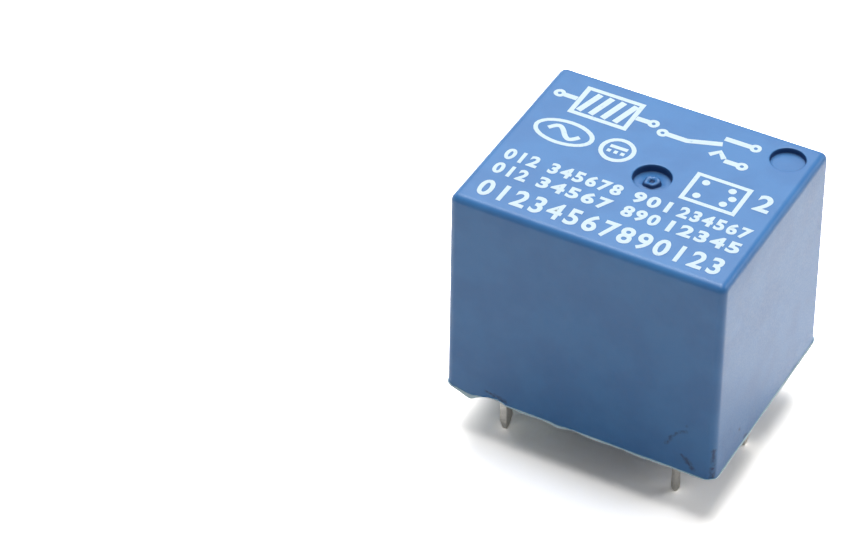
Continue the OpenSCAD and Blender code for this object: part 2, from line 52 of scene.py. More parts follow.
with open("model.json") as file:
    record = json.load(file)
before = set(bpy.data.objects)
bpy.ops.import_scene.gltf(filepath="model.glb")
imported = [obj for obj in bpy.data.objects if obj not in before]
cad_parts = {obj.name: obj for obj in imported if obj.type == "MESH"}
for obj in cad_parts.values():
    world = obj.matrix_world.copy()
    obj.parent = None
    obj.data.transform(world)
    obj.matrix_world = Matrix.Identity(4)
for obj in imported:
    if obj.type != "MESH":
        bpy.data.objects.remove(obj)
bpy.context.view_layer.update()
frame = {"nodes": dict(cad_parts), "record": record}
scene = bpy.context.scene


# ---------------------------------------------------------------- sizes taken from the solids

case_low, case_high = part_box("case")
RIM_Z = case_low.z
TOP_Z = case_high.z
HALF_LEN = case_high.x
HALF_WID = case_high.y
CASE_HGT = TOP_Z - RIM_Z
UNDERSIDE_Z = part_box("base")[0].z

# The case's walls, and how far they lean in towards the top
WALL = 0.75 * MM
ROOF = 1.05 * MM
LEAN = 0.13 * MM
EDGE_R = 0.5 * MM
EDGE_SEGMENTS = 6

# The flash along the rim: the height of its tip, and how far that rolls out. The crisp foot
# lies in from the tip, and the inner wall in from the foot.
FLASH_TIP = 0.13 * MM
FLASH_ROLL = 0.08 * MM
FOOT_INSET = 0.13 * MM
INNER_INSET = WALL - 0.15 * MM

# The level of the middle of the print, and how far it reaches above and below that
INK_LEVEL = TOP_Z + 0.004 * MM
INK_RELIEF = 0.008 * MM
# The same reach for the moulded marks, whose middle is the underside
MARK_RELIEF = 0.07 * MM


# ---------------------------------------------------------------- colours and nodes

def colour(hex_code):
    """sRGB hex, such as 5D8AC6, as linear red, green, blue and an alpha of 1."""
    parts = [int(hex_code[i:i + 2], 16) / 255 for i in (0, 2, 4)]
    return [p / 12.92 if p <= 0.04045 else ((p + 0.055) / 1.055) ** 2.4 for p in parts] + [1.0]


def put(tree, kind, inputs=None, **settings):
    """Adds one shader node with its settings. An input is a value or another node's socket."""
    made = tree.nodes.new("ShaderNode" + kind)
    for name, value in settings.items():
        setattr(made, name, value)
    for key, value in (inputs or {}).items():
        if isinstance(value, bpy.types.NodeSocket):
            tree.links.new(value, made.inputs[key])
        else:
            made.inputs[key].default_value = value
    return made


def new_material(name, **constants):
    """A material with a principled shader and the surface's own place in millimetres."""
    material = bpy.data.materials.new(name)
    material.use_nodes = True
    tree = material.node_tree
    tree.nodes.clear()
    shader = put(tree, "BsdfPrincipled")
    for key, value in constants.items():
        shader.inputs[key.replace("_", " ")].default_value = value
    put(tree, "OutputMaterial", {"Surface": shader.outputs[0]})
    coords = put(tree, "TexCoord").outputs["Object"]
    place = put(tree, "Mapping", {"Vector": coords, "Scale": (1000, 1000, 1000)}).outputs[0]
    return material, tree, shader, place


def ramp(tree, value, low, high, out_low=0.0, out_high=1.0):
    """The value's range low to high, spread smoothly over out_low to out_high."""
    return put(tree, "MapRange", {"Value": value, "From Min": low, "From Max": high,
                                  "To Min": out_low, "To Max": out_high},
               interpolation_type="SMOOTHSTEP").outputs[0]


# ---------------------------------------------------------------- materials

GRAIN_DEPTH = 0.02 * MM


def scratch(tree, place, start, end, width):
    """1 along a short mark between two points in millimetres, 0 away from it."""
    a, b = Vector(start), Vector(end)
    way = put(tree, "VectorMath", {0: place, 1: a}, operation="SUBTRACT").outputs[0]
    along = put(tree, "VectorMath", {0: way, 1: (b - a) / (b - a).length_squared},
                operation="DOT_PRODUCT").outputs["Value"]
    along = put(tree, "Clamp", {"Value": along}).outputs[0]
    reach = put(tree, "VectorMath", {0: b - a, "Scale": along}, operation="SCALE").outputs[0]
    off = put(tree, "VectorMath", {0: way, 1: reach}, operation="DISTANCE").outputs["Value"]
    return ramp(tree, off, SCUFF_FADE * width, 0.0)


# Handling marks on the case, and painted shade in the notch over the rim's nick: start and end
# in millimetres, half width, strength of the dark.
# Each fades out over this many times its half width.
SCUFF_FADE = 1.2
SCUFFS_AND_NOTCH_SHADE = [
    ((6.15, -7.7, 5.50), (6.46, -7.7, 6.10), 0.21, 0.8),
    ((6.46, -7.7, 6.10), (6.92, -7.7, 6.72), 0.15, 0.7),
    ((6.92, -7.7, 6.72), (7.45, -7.7, 7.00), 0.17, 0.65),
    ((7.44, -7.7, 7.40), (7.50, -7.7, 7.50), 0.12, 0.4),
    ((7.26, -7.7, 4.94), (7.56, -7.7, 4.74), 0.18, 0.85),
    ((7.56, -7.7, 4.74), (8.05, -7.7, 4.15), 0.26, 0.95),
    ((9.36, -7.6, 6.10), (9.42, -7.6, 5.30), 0.24, 0.9),
    ((9.42, -7.6, 5.30), (9.34, -7.6, 3.85), 0.27, 0.95),
    # These two are not scuffs but painted shade in the notch over the rim's nick
    ((-6.60, -7.7, 4.24), (-5.95, -7.7, 4.16), 0.14, 0.95),
    ((-5.95, -7.7, 4.16), (-5.20, -7.7, 3.97), 0.22, 1.0),
    ((9.45, -3.20, 3.85), (9.45, -2.95, 3.70), 0.24, 0.95),
    ((9.45, -4.12, 5.22), (9.45, -3.98, 5.02), 0.14, 0.7),
    ((-9.45, 2.10, 8.10), (-9.45, 3.05, 8.90), 0.09, 0.5),
    ((-9.45, -1.60, 8.60), (-9.45, -1.25, 7.90), 0.08, 0.7),
    ((-9.45, -1.05, 8.20), (-9.45, -0.75, 7.20), 0.07, 0.7),
    ((-9.45, -1.75, 7.10), (-9.45, -1.30, 6.40), 0.09, 0.8),
    ((-9.45, -0.95, 6.60), (-9.45, -0.80, 5.70), 0.07, 0.6),
    ((-9.45, -0.40, 7.60), (-9.45, -0.15, 7.00), 0.06, 0.6),
    ((-9.45, -1.35, 5.50), (-9.45, -0.90, 4.90), 0.08, 0.8),
    ((-9.45, -0.35, 5.90), (-9.45, -0.20, 5.10), 0.06, 0.6),
    ((-3.20, 7.68, 6.40), (-4.60, 7.68, 6.85), 0.08, 0.5),
]


def case_plastic():
    """ABS, moulded and lightly polished: an even blue with a satin gloss and a few scuffs.

    Its faint cloudiness is drawn about 3 mm across and its grain about 0.1 mm. The mesh gives
    "lip", how far a point is drawn out at the rim, where the thin flash is painted paler as
    painted light, and "unlit", how far a recess is darkened with painted shade.
    """
    material, tree, shader, place = new_material("moulded_abs_blue", IOR=1.5)
    cloud = put(tree, "TexNoise", {"Vector": place, "Scale": 0.35, "Detail": 5.0}).outputs[0]
    grain = put(tree, "TexNoise", {"Vector": place, "Scale": 9.0, "Detail": 3.0}).outputs[0]
    skin = put(tree, "MixRGB", {"Fac": ramp(tree, cloud, 0.35, 0.65),
                                "Color1": colour("2D73B5"), "Color2": colour("337BBD")}).outputs[0]
    # Scuffs, and the painted shade over the rim's nick, are broken up by a fine noise, and are
    # darker and duller than the skin
    rough = put(tree, "TexNoise", {"Vector": place, "Scale": 3.5, "Detail": 4.0})
    shift = put(tree, "VectorMath", {0: rough.outputs["Color"], 1: (0.5, 0.5, 0.5)},
                operation="SUBTRACT").outputs[0]
    moved = put(tree, "VectorMath", {0: shift, 1: (0.3, 0.3, 0.3), 2: place},
                operation="MULTIPLY_ADD").outputs[0]
    wear_and_shade = None
    for start, end, width, dark in SCUFFS_AND_NOTCH_SHADE:
        mark = scratch(tree, moved, start, end, width)
        mark = put(tree, "Math", {0: mark, 1: dark}, operation="MULTIPLY").outputs[0]
        wear_and_shade = mark if wear_and_shade is None else put(tree, "Math", {0: wear_and_shade, 1: mark},
                                             operation="MAXIMUM").outputs[0]
    patchy = ramp(tree, rough.outputs["Fac"], 0.38, 0.56, 0.45, 1.0)
    wear_and_shade = put(tree, "Math", {0: wear_and_shade, 1: patchy}, operation="MULTIPLY").outputs[0]
    skin = put(tree, "MixRGB", {"Fac": wear_and_shade, "Color1": skin, "Color2": colour("00305A")}).outputs[0]
    # Where the rim was trimmed the plastic is drawn out thin. Painted light: the thin flash is
    # painted tealer, as light coming through it, and its edge is painted pale as a highlight
    lip = put(tree, "Attribute", attribute_name="lip").outputs["Fac"]
    skin = put(tree, "MixRGB", {"Fac": ramp(tree, lip, 0.0, 0.3, 0.0, 0.5), "Color1": skin,
                                "Color2": colour("3E88A6")}).outputs[0]
    drawn = put(tree, "Math", {0: cloud, 1: 0.5, 2: lip}, operation="MULTIPLY_ADD").outputs[0]
    skin = put(tree, "MixRGB", {"Fac": ramp(tree, drawn, 0.46, 0.86), "Color1": skin,
                                "Color2": colour("CDE8F2")}).outputs[0]
    # Painted shade: the recesses' walls, and the gate's stump and pinhole, are darkened in colour,
    # and they are drawn duller than the skin
    unlit = put(tree, "Attribute", attribute_name="unlit").outputs["Fac"]
    skin = put(tree, "MixRGB", {"Fac": ramp(tree, unlit, 0.0, 1.0, 0.0, 0.85), "Color1": skin,
                                "Color2": colour("0F2B57")}).outputs[0]
    tree.links.new(skin, shader.inputs["Base Color"])
    gloss = ramp(tree, grain, 0.3, 0.7, 0.30, 0.42)
    dull = put(tree, "Math", {0: wear_and_shade, 1: 0.1, 2: gloss}, operation="MULTIPLY_ADD").outputs[0]
    coarse = put(tree, "Math", {0: unlit, 1: 0.3, 2: dull}, operation="MULTIPLY_ADD").outputs[0]
    tree.links.new(coarse, shader.inputs["Roughness"])
    depth = put(tree, "Math", {0: wear_and_shade, 1: -1.5, 2: grain}, operation="MULTIPLY_ADD").outputs[0]
    bump = put(tree, "Bump", {"Strength": 0.12, "Distance": GRAIN_DEPTH, "Height": depth})
    tree.links.new(bump.outputs[0], shader.inputs["Normal"])
    return material


def printing_ink():
    """Pad-printed white ink: flat, matt, a little thin in patches."""
    material, tree, shader, place = new_material("white_printing_ink", Roughness=0.55)
    thin = put(tree, "TexNoise", {"Vector": place, "Scale": 4.0, "Detail": 3.0}).outputs[0]
    ink = put(tree, "MixRGB", {"Fac": ramp(tree, thin, 0.6, 0.8), "Color1": colour("D3E7F1"),
                               "Color2": colour("B4CFE4")}).outputs[0]
    tree.links.new(ink, shader.inputs["Base Color"])
    return material


def grained(name, dark, light, scale, roughness, bump=0.1, stretch=None, **constants):
    """A finish whose colour and gloss vary with one fine noise of that scale in cells per mm.

    A stretch below 1 along an axis draws the noise out along that axis.
    """
    material, tree, shader, place = new_material(name, **constants)
    if stretch:
        place = put(tree, "Mapping", {"Vector": place, "Scale": stretch}).outputs[0]
    spread = put(tree, "TexNoise", {"Vector": place, "Scale": scale, "Detail": 4.0}).outputs[0]
    skin = put(tree, "MixRGB", {"Fac": ramp(tree, spread, 0.35, 0.65), "Color1": colour(dark),
                                "Color2": colour(light)}).outputs[0]
    tree.links.new(skin, shader.inputs["Base Color"])
    tree.links.new(ramp(tree, spread, 0.3, 0.7, *roughness), shader.inputs["Roughness"])
    relief = put(tree, "Bump", {"Strength": bump, "Distance": GRAIN_DEPTH, "Height": spread})
    tree.links.new(relief.outputs[0], shader.inputs["Normal"])
    return material


case_blue = case_plastic()
white_ink = printing_ink()
# Moulded PBT: near black, fairly matt, with a fine grey grain
base_black = grained("moulded_pbt_black", "1B1D20", "2A2D31", 6.0, (0.42, 0.6), IOR=1.55)
# Poured epoxy: nearly black and glossy
potting = grained("epoxy_potting", "0E0F10", "191A1C", 0.8, (0.12, 0.22), IOR=1.55)
# Cured sealant: green with a satin skin
sealant = grained("green_sealant", "2F9A6E", "4DB088", 1.2, (0.3, 0.42), IOR=1.48)
# Moulded nylon: near black like the base, and a little glossier
bobbin_black = grained("moulded_nylon_black", "191B1E", "25282B", 5.0, (0.4, 0.55), IOR=1.53)
# Enamelled copper: reddish brown under a clear coat, without the shine of bare metal
copper = grained("enamelled_copper_wire", "8C3B1A", "B5562C", 3.0, (0.22, 0.34), IOR=1.55,
                 Coat_Weight=0.6)
# Nickel-plated steel: grey with a soft, slightly broken shine
plated = grained("nickel_plated_steel", "ADAEAC", "B8B9B7", 7.0, (0.26, 0.33), bump=0.03,
                 Metallic=1.0)
# Rolled phosphor bronze: brownish yellow, with fine lines along X
bronze = grained("rolled_phosphor_bronze", "B47844", "C4874F", 5.0, (0.24, 0.32), bump=0.03,
                 stretch=(0.12, 1, 1), Metallic=1.0)
# Plated rivets: a little paler than the steel that they hold
rivets = grained("plated_rivet_steel", "B4B5B4", "C8C9C7", 8.0, (0.22, 0.34), Metallic=1.0)
# Silver contact alloy: pale, and glossier than the tin
silver = grained("silver_contact_alloy", "D2D1CB", "E4E3DF", 6.0, (0.2, 0.34), Metallic=1.0)
# Tin plate on brass: pale and rather dull
tinned = grained("tin_plated_brass", "DAD8D2", "ECEAE4", 12.0, (0.42, 0.54), bump=0.04,
                 Metallic=1.0)

# Solids that keep their own mesh and only take a finish
KEPT_SOLIDS = {"seal_resin": potting, "lead_wire_a": copper, "lead_wire_b": copper}
for node_name, finish in KEPT_SOLIDS.items():
    mesh = frame["nodes"][node_name].data
    mesh.materials.clear()
    mesh.materials.append(finish)


# ---------------------------------------------------------------- pieces from bmesh

# Edges of a solid that fold by more than this are rounded
FOLD_DEG = 30


def make_piece(bm, name, material, body="housing", sharp_deg=35, crisp=()):
    """Turns a finished bmesh into a piece on a body, smooth but for sharp and crisp edges."""
    for face in bm.faces:
        face.smooth = True
    for edge in bm.edges:
        if len(edge.link_faces) == 2:
            edge.smooth = edge.calc_face_angle(0) < math.radians(sharp_deg)
    for edge in crisp:
        edge.smooth = False
    mesh = bpy.data.meshes.new(name)
    bm.to_mesh(mesh)
    bm.free()
    mesh.materials.append(material)
    piece = bpy.data.objects.new(name, mesh)
    scene.collection.objects.link(piece)
    if body:
        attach(piece, body)
    return piece


def rounded(node, material, radius, body="housing", segments=2):
    """A solid with its sharp edges rounded by a radius in millimetres, in place of the plain one."""
    bm = bmesh.new()
    bm.from_mesh(frame["nodes"][node].data)
    bmesh.ops.remove_doubles(bm, verts=bm.verts, dist=WELD)
    bmesh.ops.dissolve_limit(bm, angle_limit=math.radians(1), verts=bm.verts, edges=bm.edges)
    sharp = [e for e in bm.edges if e.calc_face_angle(0) > math.radians(FOLD_DEG)]
    bmesh.ops.bevel(bm, geom=sharp, offset=radius * MM, segments=segments, profile=0.5,
                    affect="EDGES", material=-1, clamp_overlap=True)
    piece = make_piece(bm, "dressed_" + node, material, body, sharp_deg=32)
    piece.modifiers.new("flats_stay_flat", "WEIGHTED_NORMAL").keep_sharp = True
    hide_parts(node)


def edges_of(geometry):
    return [g for g in geometry if isinstance(g, bmesh.types.BMEdge)]


def verts_of(geometry):
    return [g for g in geometry if isinstance(g, bmesh.types.BMVert)]


def open_edges(bm, low, high):
    """The edges with one face whose ends both lie between two heights."""
    return [e for e in bm.edges if len(e.link_faces) == 1
            and all(low < v.co.z < high for v in e.verts)]


def drafted_shell():
    """The case's outside without its bottom, leaning in towards the top, with rounded edges."""
    bm = bmesh.new()
    middle = (RIM_Z + TOP_Z) / 2
    bmesh.ops.create_cube(bm, size=1)
    bmesh.ops.scale(bm, vec=(2 * HALF_LEN, 2 * HALF_WID, CASE_HGT), verts=bm.verts)
    bmesh.ops.translate(bm, vec=(0, 0, middle), verts=bm.verts)
    top = [v for v in bm.verts if v.co.z > middle]
    bmesh.ops.scale(bm, vec=((HALF_LEN - LEAN) / HALF_LEN, (HALF_WID - LEAN) / HALF_WID, 1),
                    verts=top)
    corners = [e for e in bm.edges if max(v.co.z for v in e.verts) > middle]
    bmesh.ops.bevel(bm, geom=corners, offset=EDGE_R, segments=EDGE_SEGMENTS, profile=0.5,
                    affect="EDGES", material=-1)
    bottom = [f for f in bm.faces if all(v.co.z < RIM_Z + SAME_LEVEL for v in f.verts)]
    bmesh.ops.delete(bm, geom=bottom, context="FACES")
    return bm


# Uneven places of the front rim, in millimetres: middle along X, reach, and how far it hangs
# down. A burr near one corner, a nick beside it, and a shallow sag and a small rise further on.
RIM_PLACES = ((-7.62, 0.58, 0.36), (-5.85, 0.85, -0.34), (-1.45, 0.62, 0.14), (-0.25, 0.45, -0.10))
# How far the rim rises at each corner of the case, and over what reach, in millimetres
CORNER_RISE = 0.26
CORNER_REACH = 0.55


def rim_drop(x, y):
    """How far the trimmed rim hangs below its nominal height, or stands above it, in metres."""
    at = Vector((x, y, 0)) / MM
    drop = 0.12 + 0.08 * noise.fractal(at * 0.55 + Vector((3, 7, 1)), 0.6, 2.0, 2)
    drop += 0.05 * noise.fractal(at * 1.9 + Vector((1, 2, 5)), 0.6, 2.0, 3)
    if y < -HALF_WID + 0.4 * MM:
        for place, reach, hang in RIM_PLACES:
            drop += hang * math.exp(-((at.x - place) / reach) ** 2)
    corner = math.hypot(abs(at.x) - HALF_LEN / MM, abs(at.y) - HALF_WID / MM)
    return (drop - CORNER_RISE * math.exp(-(corner / CORNER_REACH) ** 2)) * MM


def shifted(verts, inset, height):
    """Moves a loop that follows the case's outline in by an inset, and to a height."""
    for v in verts:
        v.co.x *= (HALF_LEN - inset) / HALF_LEN
        v.co.y *= (HALF_WID - inset) / HALF_WID
        v.co.z = height


def case_walls():
    """The outside of the case, cut fine enough for its sunk walls and its ragged rim."""
    bm = drafted_shell()
    for level in [0.3, 0.7] + [1.5 * i for i in range(1, 10)]:
        bmesh.ops.bisect_plane(bm, geom=bm.verts[:] + bm.edges[:] + bm.faces[:],
                               plane_co=(0, 0, RIM_Z + level * MM), plane_no=UP)
    top = [f for f in bm.faces if all(v.co.z > TOP_Z - SAME_LEVEL for v in f.verts)]
    bmesh.ops.delete(bm, geom=top, context="FACES_ONLY")
    for axis, cuts in ((0, 130), (1, 106)):
        long_edges = [e for e in bm.edges
                      if abs(e.verts[0].co[axis] - e.verts[1].co[axis]) > 5 * MM
                      and abs(e.verts[0].co.z - e.verts[1].co.z) < SAME_LEVEL]
        bmesh.ops.subdivide_edges(bm, edges=long_edges, cuts=cuts, use_grid_fill=True)
    # Walls sink a few hundredths of a millimetre between their edges
    for v in bm.verts:
        x, y, z = v.co.x / HALF_LEN, v.co.y / HALF_WID, (v.co.z - RIM_Z) / CASE_HGT
        hollow = 0.035 * MM * max(0, 1 - (2 * z - 1) ** 2)
        if abs(y) > 0.985 and abs(x) < 0.95:
            v.co.y -= math.copysign(hollow * (1 - x * x), y)
        elif abs(x) > 0.985 and abs(y) < 0.94:
            v.co.x -= math.copysign(hollow * (1 - y * y), x)
    return bm


def case_rim(bm, lip_share):
    """The flash along the rim, then the inside of the case. Returns the crisp edge under the rim.

    The wall rises over a nick, and elsewhere ends in a thin flash rolled a little outwards.
    """
    for v in [v for v in bm.verts if abs(v.co.z - RIM_Z) < SAME_LEVEL]:
        v.co.z += max(0.0, 0.02 * MM - rim_drop(v.co.x, v.co.y))
    edges = open_edges(bm, -math.inf, RIM_Z + 0.5 * MM)
    for step in ("flash", "tip", "foot", "inner", "roof"):
        out = bmesh.ops.extrude_edge_only(bm, edges=edges)["geom"]
        edges = edges_of(out)
        verts = verts_of(out)
        for v in verts:
            drop = rim_drop(v.co.x, v.co.y)
            if step == "flash":
                v.co.z -= max(0.01 * MM, drop - FLASH_TIP)
                v[lip_share] = 0.3
            elif step == "tip":
                shifted([v], -FLASH_ROLL, v.co.z - min(FLASH_TIP, max(0.02 * MM, drop)))
                v[lip_share] = 1.0
            else:
                v[lip_share] = 0.0
        if step == "foot":
            shifted(verts, FOOT_INSET, RIM_Z)
            crisp = edges
        elif step == "inner":
            shifted(verts, INNER_INSET, RIM_Z)
        elif step == "roof":
            shifted(verts, LEAN, TOP_Z - ROOF)
    bmesh.ops.edgeloop_fill(bm, edges=edges)
    return crisp


# The two round recesses in the top, in millimetres: middle, radius, and share of the full depth
GATE_RECESS = ((0.8, 0.0), 1.25, 1.0)
CORNER_RECESS = ((7.41, 5.65), 1.15, 0.7)
# The torn stump of the gate, with a pinhole in it. Each ring has its radius and depth in
# millimetres, and says how far it is darkened with painted shade.
STUMP_RINGS = [(0.62, 0.53, 0.2), (0.54, 0.50, 0.9), (0.49, 0.33, 1.0), (0.44, 0.27, 0.5),
               (0.34, 0.26, 0.0), (0.19, 0.30, 0.2), (0.14, 0.40, 1.0), (0.06, 0.43, 1.0)]


def sink_recess(bm, painted_shade_share, recess, edges):
    """Sinks one recess ring by ring from the open edges in the top face, down to its floor."""
    centre, radius, share = recess
    # Each ring: radius and depth in millimetres, and how far it is darkened with painted shade
    rings = [(radius + 0.07, 0.0, 0.0), (radius + 0.03, 0.008, 0.0), (radius, 0.04, 0.6),
             (radius - 0.01, 0.25, 1.0), (radius - 0.02, 0.50, 0.9),
             (radius - 0.08, 0.53, 0.3), (radius - 0.3, 0.53, 0.1)]
    if recess is GATE_RECESS:
        rings += STUMP_RINGS
    for size, depth, unlit in rings:
        out = bmesh.ops.extrude_edge_only(bm, edges=edges)["geom"]
        edges = edges_of(out)
        for v in verts_of(out):
            way = v.co - Vector((centre[0] * MM, centre[1] * MM, v.co.z))
            turn = math.atan2(way.y, way.x)
            torn = 0.07 * math.sin(2 * turn + 0.6) + 0.06 * math.sin(5 * turn + 1)
            way.length = size * (1 + (torn if size < 0.6 else 0)) * MM
            lift = 0.05 * math.sin(turn + 0.5) + 0.03 * math.sin(3 * turn)
            down = share * depth - (lift if 0.1 < size < 0.5 else 0)
            v.co = Vector((centre[0] * MM, centre[1] * MM, TOP_Z - down * MM)) + way
            v[painted_shade_share] = unlit
    bmesh.ops.edgeloop_fill(bm, edges=edges)


def case_top(bm, painted_shade_share):
    """Top face with its two recesses. A narrow border round it keeps it flat up to its edges."""
    rim = open_edges(bm, TOP_Z - SAME_LEVEL, math.inf)
    out = bmesh.ops.extrude_edge_only(bm, edges=rim)["geom"]
    bmesh.ops.scale(bm, vec=(0.993, 0.991, 1), verts=verts_of(out))
    border = open_edges(bm, TOP_Z - SAME_LEVEL, math.inf)
    mouths = []
    for recess in (GATE_RECESS, CORNER_RECESS):
        (x, y), radius, _ = recess
        ring = bmesh.ops.create_circle(
            bm, segments=72, radius=(radius + 0.15) * MM,
            matrix=Matrix.Translation((x * MM, y * MM, TOP_Z)))["verts"]
        mouths.append((recess, list({e for v in ring for e in v.link_edges})))
    rings = {e for _, edges in mouths for e in edges}
    bmesh.ops.triangle_fill(bm, use_beauty=True, use_dissolve=False, edges=border + list(rings))
    for recess, edges in mouths:
        sink_recess(bm, painted_shade_share, recess, edges)


def blue_case():
    """Moulded cap with two recesses in its top and a ragged flash along its rim."""
    bm = case_walls()
    lip_share = bm.verts.layers.float.new("lip")
    painted_shade_share = bm.verts.layers.float.new("unlit")
    crisp = case_rim(bm, lip_share)
    case_top(bm, painted_shade_share)
    bmesh.ops.recalc_face_normals(bm, faces=bm.faces)
    piece = make_piece(bm, "blue_case", case_blue, sharp_deg=50, crisp=crisp)
    piece.modifiers.new("flats_stay_flat", "WEIGHTED_NORMAL").keep_sharp = True
    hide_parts("case")


def curve_mesh(curve):
    """The mesh that a curve or a text makes. The curve is removed."""
    holder = bpy.data.objects.new(curve.name, curve)
    scene.collection.objects.link(holder)
    bpy.context.view_layer.update()
    mesh = bpy.data.meshes.new_from_object(holder.evaluated_get(
        bpy.context.evaluated_depsgraph_get()))
    bpy.data.objects.remove(holder)
    bpy.data.curves.remove(curve)
    return mesh


def lay_down(bm, mesh, place):
    """Adds a mesh to a bmesh at its place, and removes it."""
    mesh.transform(place)
    bm.from_mesh(mesh)
    bpy.data.meshes.remove(mesh)


def numerals(bm, words, low, high, bold=0.0, level=INK_LEVEL, relief=INK_RELIEF):
    """Numerals laid flat at a level, fitted between two corners in millimetres."""
    curve = bpy.data.curves.new("numerals", "FONT")
    curve.body = words
    curve.offset = bold
    curve.space_character = 1.24
    curve.extrude = 1
    curve.resolution_u = 5
    flat = curve_mesh(curve)
    left, right = (f(v.co.x for v in flat.vertices) for f in (min, max))
    bottom, top = (f(v.co.y for v in flat.vertices) for f in (min, max))
    size = ((high[0] - low[0]) * MM / (right - left), (high[1] - low[1]) * MM / (top - bottom))
    lay_down(bm, flat, Matrix.Translation((low[0] * MM, low[1] * MM, level))
             @ Matrix.Diagonal((size[0], size[1], relief, 1))
             @ Matrix.Translation((-left, -bottom, 0)))


def stroke(bm, points, width, closed=False, level=INK_LEVEL, relief=INK_RELIEF):
    """A line of that width along points in millimetres, pressed flat at a level."""
    curve = bpy.data.curves.new("stroke", "CURVE")
    curve.dimensions = "3D"
    curve.bevel_depth = width / 2
    curve.bevel_resolution = 2
    curve.use_fill_caps = True
    line = curve.splines.new("POLY")
    line.points.add(len(points) - 1)
    for knot, (x, y) in zip(line.points, points):
        knot.co = (x, y, 0, 1)
    line.use_cyclic_u = closed
    lay_down(bm, curve_mesh(curve), Matrix.Translation((0, 0, level))
             @ Matrix.Diagonal((MM, MM, 2 * relief / width, 1)))


def round_points(centre, radius, steps=28, stretch=1.0):
    """Points round a circle, or round an ellipse where it is stretched along X."""
    turn = [math.radians(360 * i / steps) for i in range(steps)]
    return [(centre[0] + stretch * radius * math.cos(a), centre[1] + radius * math.sin(a))
            for a in turn]


# Widths of the printed and of the moulded lines, in millimetres
LINE = 0.42
THIN_LINE = 0.30
MARK_LINE = 0.2


def top_print():
    """White pad print: wiring and pin sketches, signs for the two kinds of current, numerals."""
    bm = bmesh.new()
    # Coil with its two ends
    stroke(bm, [(-6.7, 3.5), (-2.9, 3.5), (-2.9, 6.2), (-6.7, 6.2)], 0.46, closed=True)
    for x in (-6.0, -5.15, -4.3, -3.45):
        stroke(bm, [(x - 0.3, 3.8), (x + 0.25, 5.9)], LINE)
    stroke(bm, [(-7.9, 4.85), (-6.9, 4.85)], LINE)
    stroke(bm, [(-2.7, 4.85), (-1.8, 4.85)], LINE)
    # Change-over contact
    stroke(bm, [(-0.3, 4.3), (1.1, 4.3), (3.2, 5.05)], LINE)
    stroke(bm, [(3.9, 3.75), (3.4, 4.3), (2.9, 3.75)], 0.36)
    stroke(bm, [(3.1, 5.65), (4.9, 5.65)], LINE)
    stroke(bm, [(4.0, 3.6), (4.9, 3.6)], LINE)
    for centre in ((-8.15, 4.85), (-1.5, 4.85), (-0.6, 4.3), (5.2, 5.65), (5.2, 3.6)):
        stroke(bm, round_points(centre, 0.26), 0.26, closed=True)
    # Signs for alternating and direct current
    stroke(bm, round_points((-6.05, 1.35), 1.1, stretch=1.75), THIN_LINE, closed=True)
    stroke(bm, [(-7.15 + 0.13 * i, 1.35 + 0.48 * math.sin(0.37 * i)) for i in range(18)], 0.34)
    stroke(bm, round_points((-2.3, 1.35), 1.05), THIN_LINE, closed=True)
    stroke(bm, [(-2.9, 1.6), (-1.7, 1.6)], THIN_LINE)
    for x in (-2.9, -2.43, -1.96):
        stroke(bm, [(x, 1.12), (x + 0.26, 1.12)], 0.28)
    # Where the five pins stand
    stroke(bm, [(3.2, -0.9), (6.7, -0.9), (6.7, 1.7), (3.2, 1.7)], LINE, closed=True)
    for centre in ((3.95, -0.3), (3.95, 1.1), (5.75, -0.3), (5.75, 1.1), (6.05, 0.4)):
        stroke(bm, round_points(centre, 0.13, steps=12), 0.27, closed=True)
    numerals(bm, "01234567890123", (-8.2, -6.65), (8.3, -5.0), 0.028)
    for low, groups in ((-2.75, ("012", "345678", "901", "234567")),
                        (-4.3, ("012", "34567", "890", "12345"))):
        for words, start, end in zip(groups, (-8.3, -5.2, 0.6, 3.7), (-5.95, -0.2, 3.1, 8.5)):
            numerals(bm, words, (start, low), (end, low + 1.12), 0.042)
    numerals(bm, "2", (7.45, 0.1), (8.5, 1.75), 0.03)
    bmesh.ops.recalc_face_normals(bm, faces=bm.faces)
    # The pad leaves slightly ragged edges
    for v in bm.verts:
        wobble = noise.noise_vector(v.co / MM * 2.3)
        v.co += Vector((wobble.x, wobble.y, 0)) * 0.022 * MM
    piece = make_piece(bm, "top_print", white_ink, sharp_deg=60)


def base_marks():
    """Moulded lines on the underside: a coil between its pins, two contacts, an H and a numeral."""
    bm = bmesh.new()
    under = {"level": UNDERSIDE_Z, "relief": MARK_RELIEF}
    loops = []
    for i in range(61):
        turn = math.radians(90 + 24 * i)
        loops.append((3.5 + 0.75 * math.cos(turn), -2.6 + 5.2 * i / 60 + 0.62 * math.sin(turn)))
    for points in ([(5.3, -3.9), (4.2, -3.4)] + loops + [(4.2, 3.6), (5.3, 4.1)],
                   [(-4.3, -5.2), (-2.9, -5.2), (-2.9, -4.6)],
                   [(-4.3, 5.2), (-2.9, 5.2), (-2.9, 4.6)],
                   [(-3.5, -4.5), (-2.3, -4.5)],
                   [(-3.5, 4.5), (-2.3, 4.5)],
                   [(-0.4, 3.2), (-0.4, 4.9)],
                   [(0.6, 3.2), (0.6, 4.9)],
                   [(-0.4, 4.05), (0.6, 4.05)]):
        stroke(bm, points, MARK_LINE, **under)
    numerals(bm, "8", (0.9, -4.9), (-0.2, -3.3), -0.01, **under)
    bmesh.ops.recalc_face_normals(bm, faces=bm.faces)
    piece = make_piece(bm, "base_marks", base_black, sharp_deg=60)


TURNS = 34
COIL_BORE = 2.4 * MM
# How much fuller the winding is half way up
COIL_SWELL = 0.055 * MM


